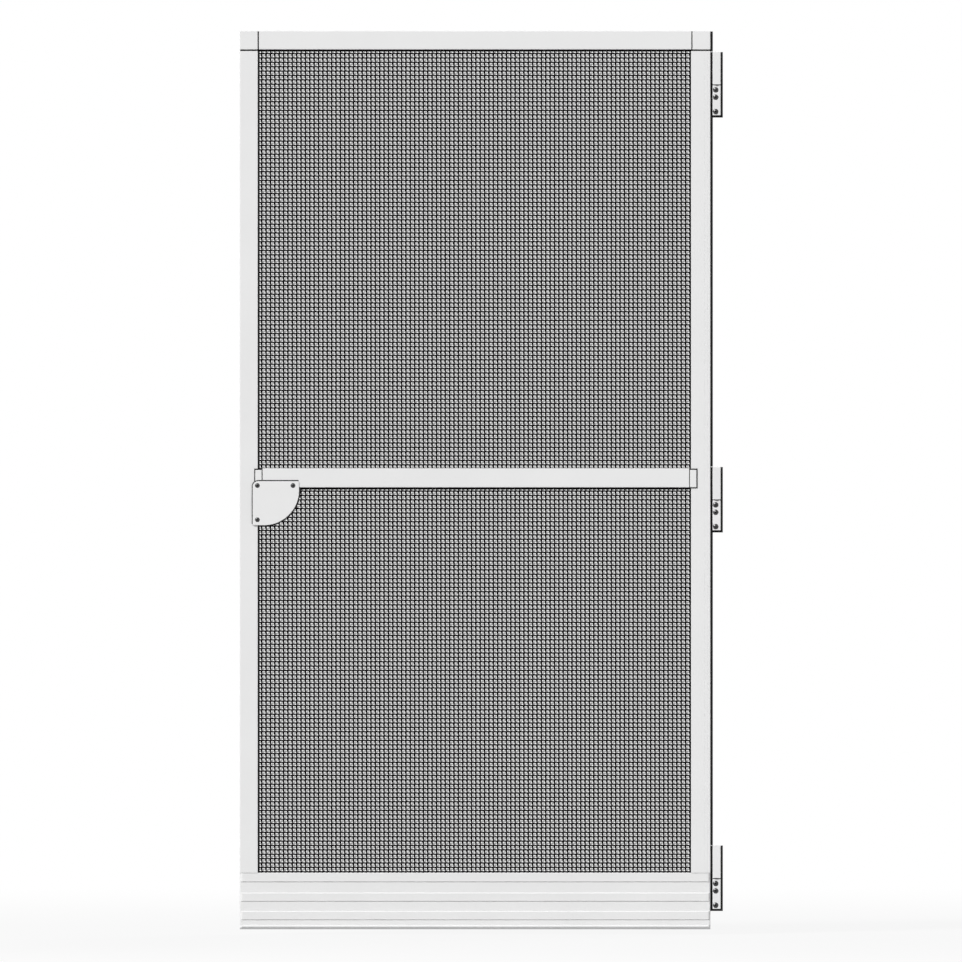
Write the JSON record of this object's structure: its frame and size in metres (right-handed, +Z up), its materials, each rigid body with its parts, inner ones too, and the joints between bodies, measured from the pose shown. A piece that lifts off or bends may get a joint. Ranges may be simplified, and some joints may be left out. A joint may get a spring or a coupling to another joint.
{
  "type": "screen door",
  "caption": "Single-leaf aluminium screen door with a mid rail, stepped kick plate and corner handle plate, hung on lift-off hinges that screw to a casing.",
  "frame": {"origin": "on the back face of the middle hinge's plate, straight behind the hinge pin, near the middle of the fixed block's height", "axes": "+Z up, along the hinge line and the leaf's height; +X from the handle side towards the hinge side; +Y into the casing, so the front looks along -Y"},
  "size_m": [1.1292, 0.025, 2.1],
  "materials": {
    "white_coat": "satin white coat on aluminium",
    "white_plastic": "satin white",
    "white_casting": "satin white coat on a die casting",
    "black_plastic": "matte",
    "black_rubber": "matte",
    "black_mesh": "coated woven thread",
    "black_steel": "satin black coat on steel",
    "bright_steel": "bright zinc"
  },
  "bodies": {
    "casing_side": {"back_plate_top": "black_steel", "hinge_block_top": "white_casting", "pin_top": "bright_steel", "washer_top": "black_plastic", "back_plate_middle": "black_steel", "hinge_block_middle": "white_casting", "pin_middle": "bright_steel", "washer_middle": "black_plastic", "back_plate_bottom": "black_steel", "hinge_block_bottom": "white_casting", "pin_bottom": "bright_steel", "washer_bottom": "black_plastic"},
    "leaf": {"left_stile": "white_coat", "right_stile": "white_coat", "top_rail": "white_coat", "connector_left": "black_plastic", "connector_right": "black_plastic", "corner_left": "white_plastic", "corner_right": "white_plastic", "kick_plate": "white_coat", "kick_cap_left": "white_plastic", "kick_cap_right": "white_plastic", "plug_left": "black_plastic", "plug_right": "black_plastic", "mid_rail": "white_coat", "rail_cap_left": "white_plastic", "rail_cap_right": "white_plastic", "handle_front": "white_coat", "handle_back": "white_coat", "screen_mesh": "black_mesh", "spline_left": "black_rubber", "spline_right": "black_rubber", "spline_top": "black_rubber", "spline_bottom": "black_rubber", "edge_seal": "black_rubber", "knuckle_top": "white_casting", "wing_top": "black_steel", "knuckle_middle": "white_casting", "wing_middle": "black_steel", "knuckle_bottom": "white_casting", "wing_bottom": "black_steel"}
  },
  "joints": [
    {"name": "door_swing", "type": "hinge", "parent": "casing_side", "child": "leaf", "pos_m": [0, -0.014, 0], "axis": [0, 0, 1], "range_deg": [0, 110]}
  ]
}
